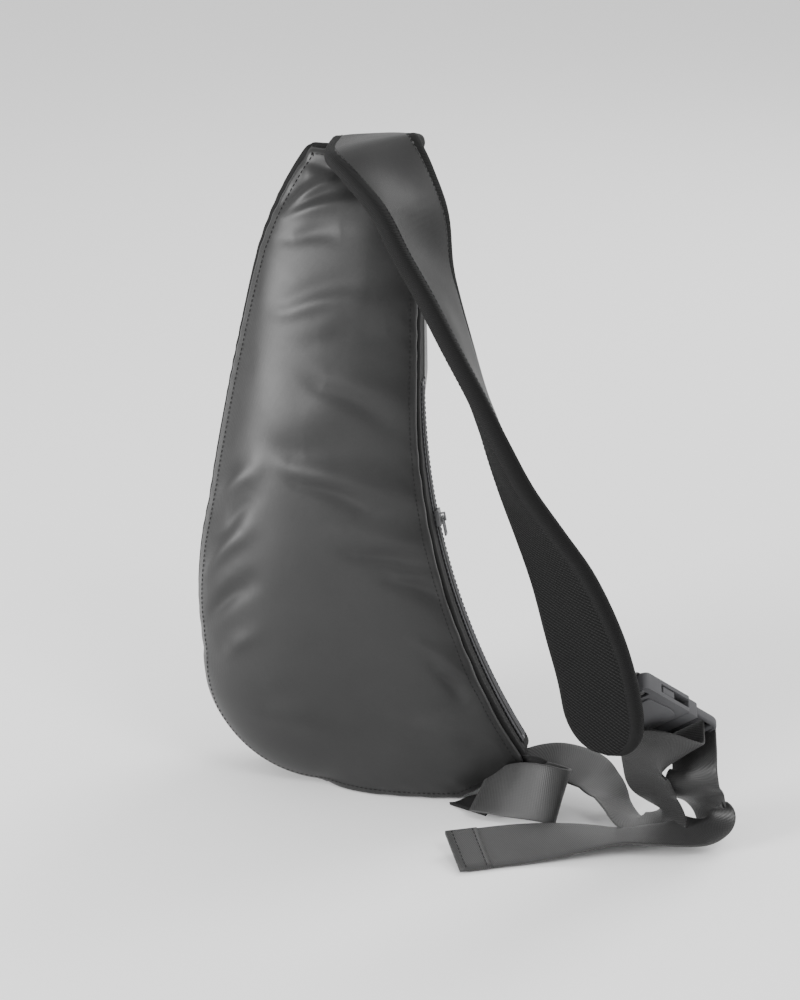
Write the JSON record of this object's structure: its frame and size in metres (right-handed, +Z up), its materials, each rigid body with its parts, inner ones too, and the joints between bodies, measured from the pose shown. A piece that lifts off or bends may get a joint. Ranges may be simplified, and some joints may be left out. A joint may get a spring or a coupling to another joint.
{
  "type": "sling bag",
  "caption": "Teardrop sling bag with a padded cross-body strap, curved main zip, two front zip pockets and a side-release buckle on loose adjustable webbing.",
  "frame": {"origin": "centre of the flat base the bag stands on", "axes": "+Z up along the bag's length, +X to the bag's right seen from the back panel, +Y from the wearer's back to the front panel"},
  "size_m": [0.3649, 0.2239, 0.4602],
  "materials": {
    "nylon": "satin coated nylon",
    "foam": "soft foam",
    "lining": "plain thin cloth",
    "mesh": "open spacer mesh",
    "binding": "woven binding tape",
    "webbing": "glossy ribbed nylon webbing",
    "zip_tape": "woven tape",
    "zip_coil": "satin nylon coil",
    "zip_metal": "dark satin lacquer",
    "buckle_plastic": "fine moulded satin"
  },
  "bodies": {
    "bag": {"back_panel": "nylon", "front_panel": "nylon", "back_foam": "foam", "lining_back": "lining", "lining_front": "lining", "gusset_outer": "nylon", "gusset_zip_back": "nylon", "gusset_zip_front": "nylon", "main_zip_tape_back": "zip_tape", "main_zip_coil_back": "zip_coil", "main_zip_tape_front": "zip_tape", "main_zip_coil_front": "zip_coil", "main_zip_stops": "zip_metal", "lower_pocket": "nylon", "lower_zip_tapes": "zip_tape", "lower_zip_coils": "zip_coil", "upper_pocket": "nylon", "upper_zip_tapes": "zip_tape", "upper_zip_coils": "zip_coil", "strap_outer": "nylon", "strap_foam": "foam", "strap_mesh": "mesh", "strap_binding": "binding", "buckle_socket": "buckle_plastic", "strap_end_webbing": "webbing", "webbing_run": "webbing", "webbing_tail": "webbing", "tail_hem": "webbing", "corner_tab": "binding"},
    "main_slider": {"main_zip_slider": "zip_metal"},
    "main_pull": {"main_zip_pull": "zip_metal"},
    "lower_slider": {"lower_zip_slider": "zip_metal"},
    "lower_pull": {"lower_zip_pull": "zip_metal"},
    "upper_slider": {"upper_zip_slider": "zip_metal"},
    "upper_pull": {"upper_zip_pull": "zip_metal"},
    "plug": {"buckle_plug": "buckle_plastic", "webbing_wrap": "webbing"},
    "prong_left": {"plug_prong_left": "buckle_plastic"},
    "prong_right": {"plug_prong_right": "buckle_plastic"}
  },
  "joints": [
    {"name": "main_zip_slide", "type": "hinge", "parent": "bag", "child": "main_slider", "pos_m": [0.50614, 0, 0.29076], "axis": [0, -1, 0], "range_deg": [-10.17, 18.95]},
    {"name": "main_pull_swing", "type": "hinge", "parent": "main_slider", "child": "main_pull", "pos_m": [0.03753, -0.012, 0.19665], "axis": [0, -1, 0], "range_deg": [0, 170]},
    {"name": "lower_zip_slide", "type": "slide", "parent": "bag", "child": "lower_slider", "axis": [-1, 0, 0], "range_m": [0, 0.09266]},
    {"name": "lower_pull_swing", "type": "hinge", "parent": "lower_slider", "child": "lower_pull", "pos_m": [0.00538, 0.07113, 0.18008], "axis": [0, 0.0194, -0.9998], "range_deg": [0, 170]},
    {"name": "upper_zip_slide", "type": "slide", "parent": "bag", "child": "upper_slider", "axis": [-1, 0, 0], "range_m": [0, 0.06926]},
    {"name": "upper_pull_swing", "type": "hinge", "parent": "upper_slider", "child": "upper_pull", "pos_m": [0.01006, 0.05162, 0.36896], "axis": [0, 0.2263, -0.9741], "range_deg": [0, 170]},
    {"name": "buckle_release", "type": "slide", "parent": "bag", "child": "plug", "axis": [0.6512, 0.4951, -0.5752], "range_m": [0, 0.03]},
    {"name": "left_prong_squeeze", "type": "hinge", "parent": "plug", "child": "prong_left", "pos_m": [0.18098, -0.08182, 0.08476], "axis": [-0.0898, 0.8028, 0.5894], "range_deg": [0, 6.5], "stiffness_Nm_per_rad": 1.5},
    {"name": "right_prong_squeeze", "type": "hinge", "parent": "plug", "child": "prong_right", "pos_m": [0.19605, -0.08847, 0.09611], "axis": [0.0898, -0.8028, -0.5894], "range_deg": [0, 6.5], "stiffness_Nm_per_rad": 1.5}
  ]
}
